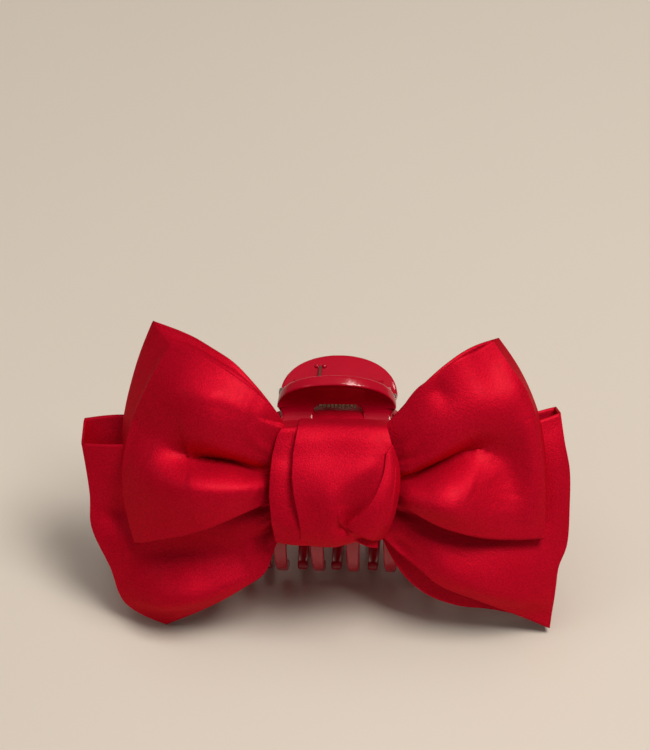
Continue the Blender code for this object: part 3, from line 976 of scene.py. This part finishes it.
def make_tie_strip():
    """Narrow strip of satin round the clip's top bar, through its window."""
    path = half_path(-1)
    keep = path[(path[:, 1] < 57.2) & (path[:, 1] > 43.6)]
    slope = np.gradient(keep, axis=0)
    slope /= np.linalg.norm(slope, axis=1)[:, None]
    normal = np.stack([slope[:, 1], -slope[:, 0]], axis=1)
    # Each side of the strip lies just off the clip's shell.
    outer = keep + normal * (SHELL / 2 + 0.55)
    inner = keep - normal * (SHELL / 2 + 0.5)
    outer[:, 0] -= 0.9 * np.exp(-(((outer[:, 1] - 58) / 3.5) ** 2))
    top = [(8.3, 60.2), (9.8, 60.9), (11.2, 60.4)]
    loop = [tuple(p) for p in outer[::-14]] + top + [tuple(p) for p in inner[::14]]
    loop += [(inner[-1][0] - 1.0, 42.9), (outer[-1][0] + 0.6, 42.9)]
    ring = spline(loop + [loop[0]], 150)
    across = 40
    u = np.linspace(-1, 1, across)[:, None]
    z = ring[None, :, 1]
    half = np.interp(z, [42, 50, 55, 57, 61], [1.9, 4.0, 6.4, 7.4, 7.4])
    x = 0.4 + u * half
    y = ring[None, :, 0] + 0.5 * u**4 + 0.12 * np.cos(9 * u + 1)
    grid = np.stack([x, y + 0 * x, z + 0 * x - 0.5 * u**4], axis=2)
    obj = cloth("tie_strip_cloth", [grid], TIE_THICK)
    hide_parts("tie_strip")


make_tie_strip()

# These CAD solids keep their own shape and get a procedural material.
SHOWN = {"hinge_pin": PIN, "front_bow_thread": THREAD, "rear_bow_thread": THREAD, "glue_bead": GLUE}
for name, surface in SHOWN.items():
    frame["nodes"][name].data.materials.clear()
    frame["nodes"][name].data.materials.append(surface)

# ---------------------------------------------------------------- floor, light, camera

# The floor is in metres, and the camera's distance and aim are in drawn millimetres.
FLOOR_HALF = 3.0
CAMERA_DISTANCE = 800.0
AIM = (-2.9, 71.9)
LENS = 133.8


def floor_material():
    """Plain pale surface with a barely visible mottle."""
    m = Nodes("floor")
    where = m.add("ShaderNodeTexCoord").outputs["Object"]
    mottle = m.add("ShaderNodeTexNoise", {"Vector": where, "Scale": 4, "Detail": 3})
    tint = m.add(
        "ShaderNodeMixRGB",
        {
            "Fac": mottle.outputs["Fac"],
            "Color1": (0.60, 0.54, 0.475, 1),
            "Color2": (0.645, 0.585, 0.52, 1),
        },
    )
    m.set(Base_Color=tint.outputs["Color"], Roughness=0.6)
    return m.material


def add_floor():
    """Large plain floor at the height that the object stands on."""
    mesh = bpy.data.meshes.new("floor")
    half = FLOOR_HALF
    corners = [(-half, -half, 0), (half, -half, 0), (half, half, 0), (-half, half, 0)]
    mesh.from_pydata(corners, [], [(0, 1, 2, 3)])
    floor = bpy.data.objects.new("floor", mesh)
    bpy.context.scene.collection.objects.link(floor)
    mesh.materials.append(floor_material())


def add_light(name, direction, distance, size, power, colour, glossy=True):
    """Square area light that shines on the object from a direction."""
    light = bpy.data.lights.new(name, "AREA")
    light.shape = "SQUARE"
    light.size = size
    light.energy = power
    light.color = colour
    lamp = bpy.data.objects.new(name, light)
    bpy.context.scene.collection.objects.link(lamp)
    toward = Vector(direction).normalized()
    lamp.location = toward * distance
    lamp.rotation_mode = "QUATERNION"
    lamp.rotation_quaternion = toward.to_track_quat("Z", "Y")
    lamp.visible_glossy = glossy


def add_camera():
    """Looks 13 degrees down on the bow as drawn, so about 43.5 degrees down on the floor."""
    azimuth, elevation = math.radians(3.0), math.radians(13.0)
    level = math.cos(elevation)
    back = Vector(
        (math.sin(azimuth) * level, -math.cos(azimuth) * level, math.sin(elevation))
    )
    right = Vector((math.cos(azimuth), math.sin(azimuth), 0))
    up = back.cross(right)
    aim = AIM[0] * right + AIM[1] * up
    place = STAND @ (aim + CAMERA_DISTANCE * back)
    turn = Matrix.Rotation(-LEAN, 3, "X")
    camera = bpy.data.cameras.new("camera")
    camera.lens = LENS
    camera.sensor_width = 36
    camera.clip_start = 0.01
    eye = bpy.data.objects.new("camera", camera)
    bpy.context.scene.collection.objects.link(eye)
    eye.location = place
    axes = Matrix((turn @ right, turn @ up, turn @ back)).transposed()
    eye.rotation_mode = "QUATERNION"
    eye.rotation_quaternion = axes.to_quaternion()
    bpy.context.scene.camera = eye


add_floor()
add_light("key", (0.40, -0.16, 1.0), 1.2, 0.5, 12.0, (1.0, 0.95, 0.88))
add_light("overhead", (-0.1, 0.12, 1.0), 1.3, 1.0, 5.0, (1.0, 0.96, 0.90), glossy=False)
add_light("fill", (-0.9, -0.35, 0.8), 1.4, 0.5, 1.3, (1.0, 0.96, 0.90))
world = bpy.data.worlds.new("world")
bpy.context.scene.world = world
world.use_nodes = True
world.node_tree.nodes["Background"].inputs["Color"].default_value = (1.0, 0.95, 0.88, 1)
world.node_tree.nodes["Background"].inputs["Strength"].default_value = 0.12
bpy.context.scene.view_settings.view_transform = "Standard"
add_camera()
